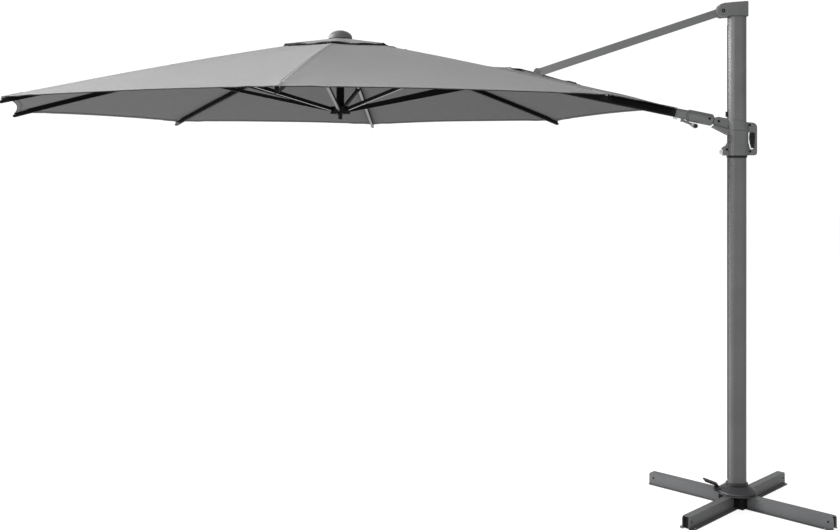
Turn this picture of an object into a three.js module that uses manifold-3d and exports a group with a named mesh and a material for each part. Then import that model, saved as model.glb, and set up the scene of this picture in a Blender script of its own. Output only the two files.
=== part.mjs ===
// Cantilever parasol: an octagonal canopy hung from a boom, a strut and a sliding
// carriage on a turning mast, on a cross base. Millimetres, +Z up. The mast stands on
// the origin, and the boom points along -X.
import * as THREE from 'three';
import { mergeVertices } from 'three/addons/utils/BufferGeometryUtils.js';
import Module from 'manifold-3d';

const wasm = await Module();
wasm.setup();

// Canopy
const ribCount = 8;
const canopyRadius = 1750;
const canopyX = -2061;
const rimHeight = 2037;
const canopyRise = 384;
const canopyBow = 0.14;
const clothThickness = 1.5;
const scallopDepth = 27;
const clothInnerRadius = 32;
const capApexHeight = 2426;
const capRadius = 350;
const capSlope = 0.18;
const slotStart = 895;
const slotEnd = 1250;
const slotHalfWidth = 44;

// Ribs and stretchers
const ribWidth = 16;
const ribHeight = 24;
const ribWall = 1.2;
const ribPivotRadius = 52;
const ribTipRadius = 1752;
const ribDrop = 14.1;
const stretcherJointRadius = 893;
const stretcherWidth = 14;
const stretcherHeight = 18;
const hubPivotRadius = 38;
const hubPivotHeight = 2042;
const boomJointDistance = 864;

// Boom linkage: knuckle pivot, strut pivots and crown pivot, in the plane y = 0
const knuckle = new THREE.Vector2(-98, 1980);
const strutTop = new THREE.Vector2(-78, 2547.5);
const strutFoot = new THREE.Vector2(-1028.6, 2242.3);
const crownPivot = new THREE.Vector2(canopyX + ribPivotRadius, 2366);
const boomSlope = 0.2104;
const boomHeight = 46;
const boomWidth = 36;
const boomWall = 2;
const boomStart = 222;
const boomEndRadius = 365;

// Mast and base
const mastDepth = 95;
const mastWidth = 62;
const mastWall = 2.5;
const mastCorner = 28;
const mastBottom = 75.3;
const mastTop = 2518.6;
const baseTurn = 48;
const armReach = 510;
const armHeight = 62;
const armTopWidth = 38;
const armFlange = 22;
const armWall = 2.5;
const coreSize = 134;
const flangeRadius = 100;
const flangeThickness = 6;

const gap = 0.4;

const anthracite = 0x6b6d70;
const darkSteel = 0x4a4c4f;
const black = 0x1b1b1d;
const cloth = 0x9b9b9d;

function toSolid(geometry) {
  const bare = geometry.clone();
  bare.deleteAttribute('normal');
  bare.deleteAttribute('uv');
  const merged = mergeVertices(bare, 1e-4);
  const mesh = new wasm.Mesh({
    numProp: 3,
    vertProperties: new Float32Array(merged.attributes.position.array),
    triVerts: new Uint32Array(merged.index.array),
  });
  return new wasm.Manifold(mesh);
}

function toGeometry(solid) {
  const mesh = solid.getMesh();
  const geometry = new THREE.BufferGeometry();
  geometry.setAttribute('position', new THREE.BufferAttribute(mesh.vertProperties, 3));
  geometry.setIndex(new THREE.BufferAttribute(mesh.triVerts, 1));
  geometry.computeVertexNormals();
  return geometry;
}

function join(...pieces) {
  return toGeometry(pieces.map(toSolid).reduce((whole, piece) => whole.add(piece)));
}

function cut(body, ...tools) {
  return toGeometry(tools.map(toSolid).reduce((rest, tool) => rest.subtract(tool), toSolid(body)));
}

function box(x0, x1, y0, y1, z0, z1) {
  const geometry = new THREE.BoxGeometry(x1 - x0, y1 - y0, z1 - z0);
  return geometry.translate((x0 + x1) / 2, (y0 + y1) / 2, (z0 + z1) / 2);
}

// A cylinder along y, centred on the x-z point (x, z)
function crossPin(radius, x, z, y0, y1, segments = 16) {
  const geometry = new THREE.CylinderGeometry(radius, radius, y1 - y0, segments);
  return geometry.translate(x, (y0 + y1) / 2, z);
}

// A cylinder along z
function column(radius, x, y, z0, z1, segments = 24) {
  const geometry = new THREE.CylinderGeometry(radius, radius, z1 - z0, segments);
  return geometry.rotateX(Math.PI / 2).translate(x, y, (z0 + z1) / 2);
}

// A cylinder along x
function shaft(radius, x0, x1, z, segments = 24) {
  const geometry = new THREE.CylinderGeometry(radius, radius, x1 - x0, segments);
  return geometry.rotateZ(Math.PI / 2).translate((x0 + x1) / 2, 0, z);
}

// A flat plate with an outline in the x-z plane, between two y values
function plate(outline, y0, y1) {
  const shape = new THREE.Shape(outline.map(([x, z]) => new THREE.Vector2(x, z)));
  const geometry = new THREE.ExtrudeGeometry(shape, { depth: y1 - y0, bevelEnabled: false });
  return geometry.rotateX(Math.PI / 2).translate(0, y1, 0);
}

// A prism with an outline in the x-y plane, between two z values
function prism(outline, z0, z1) {
  const shape = new THREE.Shape(outline.map(([x, y]) => new THREE.Vector2(x, y)));
  const geometry = new THREE.ExtrudeGeometry(shape, { depth: z1 - z0, bevelEnabled: false });
  return geometry.translate(0, 0, z0);
}

function arc(cx, cy, radius, from, to, steps) {
  const points = [];
  for (let i = 0; i <= steps; i += 1) {
    const angle = THREE.MathUtils.degToRad(from + (to - from) * i / steps);
    points.push([cx + radius * Math.cos(angle), cy + radius * Math.sin(angle)]);
  }
  return points;
}

function roundedRectangle(width, height, radius, steps = 3) {
  const x = width / 2 - radius;
  const y = height / 2 - radius;
  return [
    ...arc(x, y, radius, 0, 90, steps),
    ...arc(-x, y, radius, 90, 180, steps),
    ...arc(-x, -y, radius, 180, 270, steps),
    ...arc(x, -y, radius, 270, 360, steps),
  ];
}

// A prism with an outline in the y-z plane of the frame, between two x values
function rail(outline, x0, x1) {
  const shape = new THREE.Shape(outline.map(([y, z]) => new THREE.Vector2(y, z)));
  const geometry = new THREE.ExtrudeGeometry(shape, { depth: x1 - x0, bevelEnabled: false });
  return geometry.rotateX(Math.PI / 2).rotateZ(Math.PI / 2).translate(x0, 0, 0);
}

// Two eyes joined by a straight bar, in the x-z plane
function link(x0, z0, r0, x1, z1, r1, y0, y1) {
  const lean = THREE.MathUtils.radToDeg(Math.atan2(z1 - z0, x1 - x0));
  const outline = [
    ...arc(x0, z0, r0, lean + 90, lean + 270, 8),
    ...arc(x1, z1, r1, lean - 90, lean + 90, 8),
  ];
  return plate(outline, y0, y1);
}

function part(name, geometry, color, roughness, metalness, parent) {
  const material = new THREE.MeshStandardMaterial({ color, roughness, metalness });
  const mesh = new THREE.Mesh(geometry, material);
  mesh.name = name;
  parent.add(mesh);
  return mesh;
}

function painted(name, geometry, parent, color = anthracite) {
  return part(name, geometry, color, 0.5, 0.6, parent);
}

function plastic(name, geometry, parent, color = black) {
  return part(name, geometry, color, 0.55, 0, parent);
}

// Height of the cloth's underside over a rib, at a distance from the canopy's centre
function clothHeight(radius) {
  const t = (canopyRadius - radius) / canopyRadius;
  return rimHeight + canopyRise * ((1 + canopyBow) * t - canopyBow * t * t);
}

function boomAxisHeight(radius) {
  return knuckle.y + boomSlope * (knuckle.x - canopyX - radius);
}

// The cloth over the boom is never lower than the tube's top
function clothHeightOverBoom(radius) {
  const top = boomAxisHeight(radius) + boomHeight / 2 / Math.cos(Math.atan(boomSlope)) + 1.2;
  return Math.max(clothHeight(radius), top);
}

function makeHatRail() {
  const half = armTopWidth / 2;
  const outline = [
    [-half - armFlange, 0], [-half + armWall, 0], [-half + armWall, armHeight - armWall],
    [half - armWall, armHeight - armWall], [half - armWall, 0], [half + armFlange, 0],
    [half + armFlange, armWall], [half, armWall], [half, armHeight],
    [-half, armHeight], [-half, armWall], [-half - armFlange, armWall],
  ];
  const bar = rail(outline, coreSize / 2 + gap, armReach);
  const side = half + armFlange / 2;
  const holes = [
    column(5, armReach - 40, side, -5, 10, 12), column(5, armReach - 40, -side, -5, 10, 12),
    crossPin(4, armReach - 26, 34, -half - 5, half + 5, 12),
  ];
  return cut(bar, ...holes, flangeCorner(half), flangeCorner(half).rotateX(Math.PI), topCorner(half));
}

// What is cut away to round the outer corner of a rail's foot
function flangeCorner(half) {
  const start = armReach - armFlange;
  const block = box(start, armReach + 5, half, half + armFlange + 5, -5, 5);
  return cut(block, column(armFlange, start, half, -10, 10, 32));
}

function topCorner(half) {
  const block = box(armReach - 12, armReach + 5, -half - 5, half + 5, armHeight - 12, armHeight + 5);
  return cut(block, crossPin(12, armReach - 12, armHeight - 12, -half - 10, half + 10, 32));
}

function makeBaseCore() {
  const half = coreSize / 2;
  const floor = box(-half, half, -half, half, 0, 5);
  const wall = cut(
    box(-half, half, -half, half, 0, armHeight - 1),
    box(-half + 4, half - 4, -half + 4, half - 4, 4, armHeight + 5),
  );
  const spigot = column(26.5, 0, 0, 1, 330);
  return cut(join(floor, wall, spigot), column(22, 0, 0, 12, 400));
}

function makeBaseFlange() {
  const low = armHeight + gap;
  const disc = column(flangeRadius, 0, 0, low, low + flangeThickness, 40);
  return cut(disc, column(28.5, 0, 0, 0, 100));
}

function buildBase(parent) {
  const base = new THREE.Group();
  base.rotation.z = THREE.MathUtils.degToRad(baseTurn);
  parent.add(base);
  painted('base_core', makeBaseCore(), base, black);
  painted('base_flange', makeBaseFlange(), base, darkSteel);
  for (let i = 0; i < 4; i += 1) {
    const arm = painted(`base_arm_${i + 1}`, makeHatRail(), base, darkSteel);
    arm.rotation.z = i * Math.PI / 2;
  }
}

// A turned bell with a collar round the mast and two ears for the pedal
function makeMastFoot() {
  const low = footLow();
  const profile = [
    [0, low], [98, low], [100, low + 3], [96, low + 9], [78, low + 21], [66, low + 30],
    [61, low + 34], [0, low + 34],
  ];
  const points = profile.map(([x, y]) => new THREE.Vector2(x, y));
  const bell = new THREE.LatheGeometry(points, 40).rotateX(Math.PI / 2);
  const collar = prism(
    roundedRectangle(mastDepth + 16, mastWidth + 16, mastCorner + 7, 5), low + 20, low + 46);
  const ears = join(
    box(-116, -85, -15, -10, low + 2, low + 20), box(-116, -85, 10, 15, low + 2, low + 20),
    crossPin(4, -108, low + 12, -14, 14, 12),
  );
  const pocket = prism(
    roundedRectangle(mastDepth + 2 * gap, mastWidth + 2 * gap, mastCorner, 5), mastBottom - gap, 200);
  return cut(join(bell, collar, ears), pocket, column(28.5, 0, 0, 0, 200));
}

function footLow() {
  return armHeight + gap + flangeThickness + gap;
}

function mastSection(inset) {
  return roundedRectangle(mastDepth - 2 * inset, mastWidth - 2 * inset, mastCorner - inset, 5);
}

function makeMastTube() {
  const outer = prism(mastSection(0), mastBottom, mastTop);
  const inner = prism(mastSection(mastWall), mastBottom - 5, mastTop + 5);
  const face = -mastDepth / 2;
  const track = box(face - 5, face + 1.4, -10.5, 10.5, 130, mastTop - 40);
  return cut(outer, inner, track);
}

function makeMastHead() {
  const { x, y: z } = strutTop;
  const low = mastTop + gap;
  const outline = [
    ...arc(x, z, 31, 168, 285, 7), [-52, low], [50, low],
    ...arc(45, 2592, 5, 0, 90, 3), [-20, 2593], [-72, 2588], [-91, 2582],
  ];
  const body = plate(outline, -35, 35);
  const slot = box(-150, -50.5, -10.8, 10.8, 2450, 2700);
  const plug = prism(mastSection(mastWall + 0.8), 2470, mastTop + 2);
  const boltHeads = [crossPin(10, x, z, -40, -34, 6), crossPin(10, x, z, 34, 40, 6)];
  return join(cut(body, slot), plug, ...boltHeads);
}

function makeFootPedal() {
  const low = footLow();
  const shank = link(-108, low + 12, 8, -106, low + 32, 6, -9.4, 9.4);
  const tread = plate([
    [-98, low + 29], [-99, low + 37], [-163, low + 60], [-170, low + 58], [-167, low + 52],
    [-108, low + 30],
  ], -23, 23);
  return cut(join(shank, tread), crossPin(4 + gap, -108, low + 12, -20, 20, 12));
}

function buildMast(parent) {
  painted('mast_foot', makeMastFoot(), parent, darkSteel);
  painted('mast_tube', makeMastTube(), parent);
  painted('mast_head', makeMastHead(), parent);
  const bumper = box(-56, -mastDepth / 2 - gap, -9, 9, 2003, 2030);
  plastic('stop_bumper', bumper, parent);
  plastic('foot_pedal', makeFootPedal(), parent);
}

// A sleeve round the mast. Two cheeks carry the boom's knuckle, a nose the latch, and a
// waist on the boom's side leaves the mast's track open.
function makeCarriageSleeve() {
  const section = roundedRectangle(105.5, 84, 26, 5);
  const shell = prism(section, 1803, 1948).translate(1.25, 0, 0);
  const shoulder = prism(section, 1947.9, 1996);
  const taper = shoulder.attributes.position;
  for (let i = 0; i < taper.count; i += 1) {
    if (taper.getZ(i) > 1950) {
      taper.setX(i, taper.getX(i) * 0.955);
      taper.setY(i, taper.getY(i) * 0.84);
      taper.setZ(i, 1984 - taper.getX(i) * 0.22);
    }
  }
  shoulder.translate(1.25, 0, 0);
  const { x, y: z } = knuckle;
  const cheeks = plate([
    [-40, 1994], [-40, 1925], [-60, 1925], [-112, 1955], ...arc(x, z, 23, 235, 75, 10),
    [-80, 1999], [-52, 1995],
  ], -22, 22);
  const underBar = plate([
    [-126, 1950], [-116, 1960], [-30, 1934], [-30, 1908], [-50, 1910],
  ], -27, 27);
  const nose = plate([
    [-40, 1860], [-50, 1857], [-64, 1850], [-74, 1841], [-75, 1809], [-70, 1803], [-40, 1803],
  ], -21, 21);
  const forkSlot = box(-150, -60, -8.6, 8.6, 1880, 2100);
  const noseSlot = box(-150, -51, -10.8, 10.8, 1780, 1870);
  const waist = plate([
    [-80, 1862], [-44, 1866], [-34, 1876], [-32, 1900], [-40, 1909], [-80, 1909],
  ], -60, 60);
  const pins = [crossPin(6, x, z, -12, 12), crossPin(4, -60, 1834, -14, 14, 12)];
  const heads = [crossPin(9, x, z, -26, -21, 6), crossPin(9, x, z, 21, 26, 6)];
  const bore = prism(roundedRectangle(mastDepth + 2, mastWidth + 2, mastCorner + 1, 5), 1700, 2100);
  const body = cut(join(shell, shoulder, cheeks, underBar, nose), forkSlot, noseSlot, waist);
  return cut(join(body, ...pins, ...heads), bore);
}

function makeCarriageHandle() {
  const outer = [
    [54.6, 1804], ...arc(85, 1818, 14, 270, 360, 4), ...arc(75, 1949, 24, 0, 90, 6),
    [54.6, 1975],
  ];
  const inner = [
    [50, 1922], [50, 1872], [57, 1864], [62, 1842], ...arc(68, 1841, 5, 180, 270, 2),
    ...arc(82, 1842, 6, 270, 360, 3), ...arc(82, 1916, 6, 0, 90, 3),
  ];
  const pivotRoom = box(66.5, 90, -9.6, 9.6, 1918, 1944);
  const body = cut(plate(outer, -16, 16), plate(inner, -30, 30), pivotRoom);
  return join(body, crossPin(3, 80, 1934, -12, 12, 12));
}

function makeGripTrigger() {
  const outline = [
    ...arc(80, 1934, 6.5, 0, 180, 6), [65.5, 1917], [63.5, 1895], [67, 1868], [74, 1841],
    [83.5, 1841], [86.5, 1900], [86.5, 1916],
  ];
  return cut(plate(outline, -9, 9), crossPin(3 + gap, 80, 1934, -20, 20, 12));
}

function makeLatchLever() {
  const lever = link(-60, 1834, 8, -72, 1821, 15.5, -10.4, 10.4);
  return cut(lever, crossPin(4 + gap, -60, 1834, -20, 20, 12));
}

function buildCarriage(parent) {
  painted('carriage_sleeve', makeCarriageSleeve(), parent);
  painted('carriage_handle', makeCarriageHandle(), parent);
  plastic('grip_trigger', makeGripTrigger(), parent);
  plastic('latch_lever', makeLatchLever(), parent, 0xb9b9bb);
}

// A frame at a pivot, with its x axis along a direction in the x-z plane
function planeFrame(origin, angle) {
  const frame = new THREE.Group();
  const along = new THREE.Vector3(-Math.cos(angle), 0, Math.sin(angle));
  const up = new THREE.Vector3(Math.sin(angle), 0, Math.cos(angle));
  const across = new THREE.Vector3().crossVectors(up, along);
  frame.quaternion.setFromRotationMatrix(new THREE.Matrix4().makeBasis(along, across, up));
  frame.position.set(origin.x, 0, origin.y);
  return frame;
}

function toPlaneFrame(point, origin, angle) {
  const dx = point.x - origin.x;
  const dz = point.y - origin.y;
  return new THREE.Vector2(
    -dx * Math.cos(angle) + dz * Math.sin(angle), dx * Math.sin(angle) + dz * Math.cos(angle));
}

function makeKnuckle() {
  const tongue = link(0, 0, 16, 10, 0, 15, -8, 8);
  const flange = shaft(22, 23.6, 28.4, 0);
  const spindle = shaft(13, 26, 330, 0, 16);
  return cut(join(tongue, flange, spindle), crossPin(6 + gap, 0, 0, -20, 20));
}

function makeTiltBarrel() {
  const body = join(shaft(28.5, 29, 36, 0, 32), shaft(31, 34, 152, 0, 32), shaft(28, 150, 160, 0, 32));
  const bore = shaft(14, 20, 190, 0, 16);
  const bolts = [crossPin(5, 50, 3, -34, -27, 6), crossPin(5, 50, 3, 27, 34, 6)];
  return cut(join(body, ...bolts), bore);
}

function makeTiltLever() {
  const arm = link(178, -32, 6, 113, -45, 5.5, -6.4, 6.4);
  const knob = link(124, -44, 8, 107, -47, 12, -10, 10);
  return cut(join(arm, knob), crossPin(3.5 + gap, 178, -32, -20, 20, 12));
}

function boomSection(inset) {
  return roundedRectangle(boomWidth - 2 * inset, boomHeight - 2 * inset, 12 - inset);
}

function makeBoomTube(endX, jointX) {
  const tube = rail(boomSection(0), boomStart + gap, endX);
  const bore = rail(boomSection(boomWall), boomStart - 5, endX + 5);
  return cut(tube, bore, crossPin(4.6, jointX, 0, -40, 40, 12));
}

// The socket between the tilt barrel and the boom's tube, with two ears for the tilt lever
function makeBoomCollar() {
  const socket = rail(boomSection(-1.5), 160 + gap, boomStart);
  const ears = join(
    box(171, 185, -12, -7, -39, -20), box(171, 185, 7, 12, -39, -20),
    crossPin(3.5, 178, -32, -9, 9, 12),
  );
  return cut(join(socket, ears), shaft(14, 150, boomStart + 5, 0, 16));
}

function makeBoomTip(endX, pivot) {
  const outline = [
    [endX - 70, -11], [endX + 4, -11],
    ...arc(pivot.x, pivot.y, 11, -95, 85, 8),
    [endX + 4, 11], [endX - 70, 11],
  ];
  const bar = plate(outline, -9, 9);
  const plug = rail(boomSection(boomWall + gap), endX - 70, endX - 2);
  return cut(join(bar, plug), crossPin(4 + gap, pivot.x, pivot.y, -20, 20, 12));
}

function makeStrutCollar(foot) {
  const ring = shaft(33, foot.x - 30, foot.x + 30, 0);
  const cheek = [
    [foot.x - 28, 12], [foot.x + 28, 12], ...arc(foot.x, foot.y, 17, 20, 160, 8),
  ];
  const lugs = [plate(cheek, -17, -10.8), plate(cheek, 10.8, 17)];
  const pin = crossPin(5, foot.x, foot.y, -12, 12);
  const heads = [
    crossPin(8, foot.x, foot.y, -22, -16, 6), crossPin(8, foot.x, foot.y, 16, 22, 6),
  ];
  const strutRoom = box(foot.x - 60, foot.x + 60, -10.8, 10.8, 34, 60);
  const solid = cut(join(ring, ...lugs), strutRoom);
  return cut(join(solid, pin, ...heads), shaft(25.4, foot.x - 50, foot.x + 50, 0, 32));
}

function makeStrut(length) {
  const body = link(0, 8, 20, length, 0, 20, -10, 10);
  const bore = box(28, length - 26, -8, 8, -11, 17.5);
  const opening = box(length / 2 - 15, length / 2 + 15, -4, 4, -25, 0);
  return cut(body, bore, opening, crossPin(5 + gap, 0, 0, -20, 20), crossPin(7, length, 0, -20, 20));
}

function buildBoom(parent) {
  const angle = Math.atan(boomSlope);
  const frame = planeFrame(knuckle, angle);
  parent.add(frame);
  const foot = toPlaneFrame(strutFoot, knuckle, angle);
  const crown = toPlaneFrame(crownPivot, knuckle, angle);
  const end = new THREE.Vector2(canopyX + boomEndRadius, boomAxisHeight(boomEndRadius));
  const endX = toPlaneFrame(end, knuckle, angle).x;
  const joint = boomJoint();
  const jointX = toPlaneFrame(joint, knuckle, angle).x;
  painted('knuckle', makeKnuckle(), frame, darkSteel);
  painted('tilt_barrel', makeTiltBarrel(), frame);
  plastic('tilt_lever', makeTiltLever(), frame);
  painted('boom_tube', makeBoomTube(endX, jointX), frame);
  painted('boom_collar', makeBoomCollar(), frame, 0x8a8c8f);
  painted('boom_tip', makeBoomTip(endX, crown), frame, darkSteel);
  painted('strut_collar', makeStrutCollar(foot), frame, darkSteel);

  const strutAngle = Math.atan2(strutTop.y - strutFoot.y, strutFoot.x - strutTop.x);
  const strutFrame = planeFrame(strutFoot, strutAngle);
  parent.add(strutFrame);
  painted('strut', makeStrut(strutTop.distanceTo(strutFoot)), strutFrame);
}

// The point on the boom's axis where its stretcher is pinned
function boomJoint() {
  const angle = Math.atan(boomSlope);
  const x = crownPivot.x + boomJointDistance * Math.cos(angle);
  return new THREE.Vector2(x, boomAxisHeight(x - canopyX));
}

function ribAxisHeight(radius) {
  return clothHeight(radius) - ribDrop;
}

function ribOutline(inset, from, to) {
  const half = ribHeight / 2 - inset;
  const radii = [];
  for (let i = 0; i <= 8; i += 1) {
    radii.push(THREE.MathUtils.lerp(from, to, i / 8));
  }
  const low = radii.map((r) => [r, ribAxisHeight(r) - half]);
  const high = radii.map((r) => [r, ribAxisHeight(r) + half]);
  return [...low, ...high.reverse()];
}

function makeRib() {
  const eye = crossPin(10, ribPivotRadius, ribAxisHeight(ribPivotRadius), -8, 8);
  const neck = plate(ribOutline(2, ribPivotRadius, 110), -8, 8);
  const tube = plate(ribOutline(0, 75, ribTipRadius), -8, 8);
  const bore = plate(ribOutline(ribWall, 115, ribTipRadius + 40), -8 + ribWall, 8 - ribWall);
  const pivotHole = crossPin(3.5 + gap, ribPivotRadius, ribAxisHeight(ribPivotRadius), -20, 20, 12);
  const jointZ = ribAxisHeight(stretcherJointRadius);
  const jointHole = crossPin(3 + gap, stretcherJointRadius, jointZ, -20, 20, 12);
  return cut(join(eye, neck, tube), bore, pivotHole, jointHole);
}

function makeRibCap() {
  const inner = plate(ribOutline(ribWall + gap, ribTipRadius - 18, ribTipRadius + 1), -6.2, 6.2);
  const collar = plate(ribOutline(0.6, ribTipRadius + gap, ribTipRadius + 2), -7.4, 7.4);
  const z = ribAxisHeight(ribTipRadius);
  const nose = plate([
    [ribTipRadius + gap, z - 12.5], [ribTipRadius + 6, z - 12.5], [ribTipRadius + 10, z - 9],
    [ribTipRadius + 10, z - 3], [ribTipRadius + 6, z + 0.5], [ribTipRadius + gap, z + 0.5],
  ], -7.5, 7.5);
  return join(inner, collar, nose);
}

// A stretcher lies between a pivot on the hub and a pinned fork at its outer end
function makeStretcher(inner, outer, height, width, forkInside, forkLength, pinRadius) {
  const along = outer.clone().sub(inner).normalize();
  const length = outer.distanceTo(inner);
  const at = (distance) => inner.clone().addScaledVector(along, distance);
  const shoulder = at(length - forkLength);
  const forkStart = at(length - forkLength - 22);
  const half = forkInside / 2;
  const y0 = -half - 2.6;
  const y1 = half + 2.6;
  const bar = link(inner.x, inner.y, height / 2, shoulder.x, shoulder.y, height / 2, -width / 2, width / 2);
  const block = link(
    forkStart.x, forkStart.y, height / 2 - 0.6, outer.x, outer.y, height / 2 - 0.6, y0, y1);
  const room = plate(forkRoom(shoulder, at(length + 30), height), -half, half);
  const pin = crossPin(pinRadius, outer.x, outer.y, -half - 1, half + 1, 12);
  const hole = crossPin(3.4, inner.x, inner.y, -20, 20, 12);
  return join(cut(join(block, bar), hole, room), pin);
}

function forkRoom(from, to, height) {
  const along = to.clone().sub(from).normalize();
  const side = new THREE.Vector2(-along.y, along.x).multiplyScalar(height);
  return [
    [from.x - side.x, from.y - side.y], [to.x - side.x, to.y - side.y],
    [to.x + side.x, to.y + side.y], [from.x + side.x, from.y + side.y],
  ];
}

// One wedge of the canopy, with its layer of the raised vent cap, between two directions
function clothProfile(height) {
  const radii = [canopyRadius, 1500, 1250, 1000, 750, 500, 360, 300, 180, 62];
  const under = radii.map((r) => [r, height(r)]);
  const over = radii.slice(0, -1).map((r) => [r, height(r) + clothThickness]).reverse();
  const capTop = (r) => capApexHeight - capSlope * r;
  return [
    ...under,
    [clothInnerRadius, clothHeight(62)],
    [clothInnerRadius, capTop(clothInnerRadius)],
    [capRadius, capTop(capRadius)],
    [capRadius, capTop(capRadius) - clothThickness],
    [62, capTop(62) - clothThickness],
    [62, height(62) + clothThickness],
    ...over,
  ];
}

function makeGore(startHeight, endHeight, boomSide) {
  const steps = 4;
  const span = 2 * Math.PI / ribCount;
  const starts = clothProfile(startHeight);
  const ends = clothProfile(endHeight);
  const count = starts.length;
  const positions = [];
  for (let s = 0; s <= steps; s += 1) {
    const t = s / steps;
    for (let k = 0; k < count; k += 1) {
      const [r, z0] = starts[k];
      const z = THREE.MathUtils.lerp(z0, ends[k][1], t);
      const a = new THREE.Vector2(r * Math.cos(span / 2), -r * Math.sin(span / 2) + 0.2);
      const b = new THREE.Vector2(a.x, -a.y);
      const point = a.lerp(b, t);
      const sag = r === canopyRadius ? scallopDepth * 4 * t * (1 - t) : 0;
      positions.push(point.x - sag, point.y, z);
    }
  }
  const faces = [];
  for (let s = 0; s < steps; s += 1) {
    for (let k = 0; k < count; k += 1) {
      const a = s * count + k;
      const b = s * count + (k + 1) % count;
      const outward = starts[(k + 1) % count][0] > starts[k][0];
      if (outward) {
        faces.push(a, b, b + count, a, b + count, a + count);
      } else {
        faces.push(a, b, a + count, b, b + count, a + count);
      }
    }
  }
  const flat = starts.map(([r, z]) => new THREE.Vector2(r, z));
  const flatEnd = ends.map(([r, z]) => new THREE.Vector2(r, z));
  for (const [a, b, c] of THREE.ShapeUtils.triangulateShape(flat, [])) {
    faces.push(a, b, c);
  }
  const last = steps * count;
  for (const [a, b, c] of THREE.ShapeUtils.triangulateShape(flatEnd, [])) {
    faces.push(last + a, last + c, last + b);
  }
  const geometry = new THREE.BufferGeometry();
  geometry.setAttribute('position', new THREE.Float32BufferAttribute(positions, 3));
  geometry.setIndex(faces);
  return boomSide === 0 ? geometry : cut(geometry, makeSlotCutter(boomSide, span));
}

function makeSlotCutter(side, span) {
  const cutter = box(slotStart, slotEnd, -slotHalfWidth, slotHalfWidth, 1900, 2500);
  return cutter.rotateZ(side * span / 2);
}

// A slotted wheel that holds the ends of the ribs or stretchers
function makeStarHub(radius, low, high, pins, pinHeight, pinRadius, slotWidth, core) {
  let hub = column(radius, 0, 0, low, high, 32);
  for (const angle of pins) {
    const slot = box(core, radius + 20, -slotWidth / 2, slotWidth / 2, low - 20, high + 20);
    hub = cut(hub, slot.rotateZ(angle));
  }
  if (pinHeight > 0) {
    for (const angle of pins) {
      const z = angle === 0 ? crownPivot.y : pinHeight;
      const width = slotWidth + 2;
      const pin = crossPin(pinRadius, ribPivotRadius, z, -width / 2, width / 2, 12);
      hub = join(hub, pin.rotateZ(angle));
    }
  }
  return hub;
}

function directions(first) {
  const list = [];
  for (let i = first; i < ribCount; i += 1) {
    list.push(i * 2 * Math.PI / ribCount);
  }
  return list;
}

function makeCrownHub() {
  const top = 2406;
  const pinZ = ribAxisHeight(ribPivotRadius);
  const star = makeStarHub(67, 2351, top, directions(1), pinZ, 3.5, ribWidth + 2 * gap, 33);
  const boomRoom = box(33, 90, -9.4, 9.4, 2300, 2386);
  const boomPin = crossPin(4, ribPivotRadius, crownPivot.y, -11, 11, 12);
  const neck = column(24, 0, 0, top - 2, 2421, 24);
  const socket = column(21.6, 0, 0, 2340, 2371, 24);
  return cut(join(cut(star, boomRoom), boomPin, neck), socket);
}

function makeFinial() {
  const profile = [
    [0, 2421.4], [50, 2421.4], [56, 2418], [62, 2419], [63, 2426], [59.5, 2437], [51, 2447],
    [38, 2455.5], [20, 2461.5], [0, 2464],
  ];
  const points = profile.map(([x, y]) => new THREE.Vector2(x, y));
  return new THREE.LatheGeometry(points, 32).rotateX(Math.PI / 2);
}

function makeHubStar() {
  const slot = stretcherWidth + 2 * gap;
  const star = makeStarHub(52, 2022, 2062, directions(0), 0, 0, slot, 25);
  return cut(star, column(21 + gap, 0, 0, 1900, 2200, 24));
}

function makePole() {
  return cut(column(21, 0, 0, 2022, 2369.5, 24), column(19, 0, 0, 2000, 2360, 24));
}

function makeHubKnob() {
  const profile = [
    [0, 1994], [8, 1994], [10.5, 1997], [10.5, 2014], [14, 2017], [14, 2021.6], [18.4, 2021.6],
    [18.4, 2040], [0, 2040],
  ];
  const points = profile.map(([x, y]) => new THREE.Vector2(x, y));
  return new THREE.LatheGeometry(points, 24).rotateX(Math.PI / 2);
}

function buildCanopy(parent) {
  const canopy = new THREE.Group();
  canopy.position.x = canopyX;
  parent.add(canopy);
  painted('crown_hub', makeCrownHub(), canopy, black);
  plastic('finial', makeFinial(), canopy, 0x8f8f92);
  plastic('hub_star', makeHubStar(), canopy);
  painted('centre_pole', makePole(), canopy, black);
  plastic('hub_knob', makeHubKnob(), canopy);

  const rib = makeRib();
  const cap = makeRibCap();
  const inner = new THREE.Vector2(hubPivotRadius, hubPivotHeight);
  const joint = new THREE.Vector2(stretcherJointRadius, ribAxisHeight(stretcherJointRadius));
  const stretcher = makeStretcher(
    inner, joint, stretcherHeight, stretcherWidth, ribWidth + 2 * gap, 86, 3);
  for (let i = 0; i < ribCount; i += 1) {
    const spoke = new THREE.Group();
    spoke.rotation.z = i * 2 * Math.PI / ribCount;
    canopy.add(spoke);
    if (i === 0) {
      const end = boomJoint();
      end.x -= canopyX;
      const thick = makeStretcher(inner, end, 22, stretcherWidth, boomWidth + 2 * gap, 120, 4.2);
      painted('boom_stretcher', thick, spoke, black);
    } else {
      painted(`rib_${i}`, rib, spoke, black);
      plastic(`rib_cap_${i}`, cap, spoke);
      painted(`stretcher_${i}`, stretcher, spoke, black);
    }
  }

  for (let i = 0; i < ribCount; i += 1) {
    const wedge = new THREE.Group();
    wedge.rotation.z = (i + 0.5) * 2 * Math.PI / ribCount;
    canopy.add(wedge);
    const first = i === 0 ? clothHeightOverBoom : clothHeight;
    const last = i === ribCount - 1 ? clothHeightOverBoom : clothHeight;
    const side = i === 0 ? -1 : i === ribCount - 1 ? 1 : 0;
    part(`gore_${i + 1}`, makeGore(first, last, side), cloth, 0.9, 0, wedge);
  }
}

const group = new THREE.Group();
group.name = 'cantilever_parasol';
buildBase(group);
buildMast(group);
buildCarriage(group);
buildBoom(group);
buildCanopy(group);

export default group;
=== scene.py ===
import math

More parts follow.
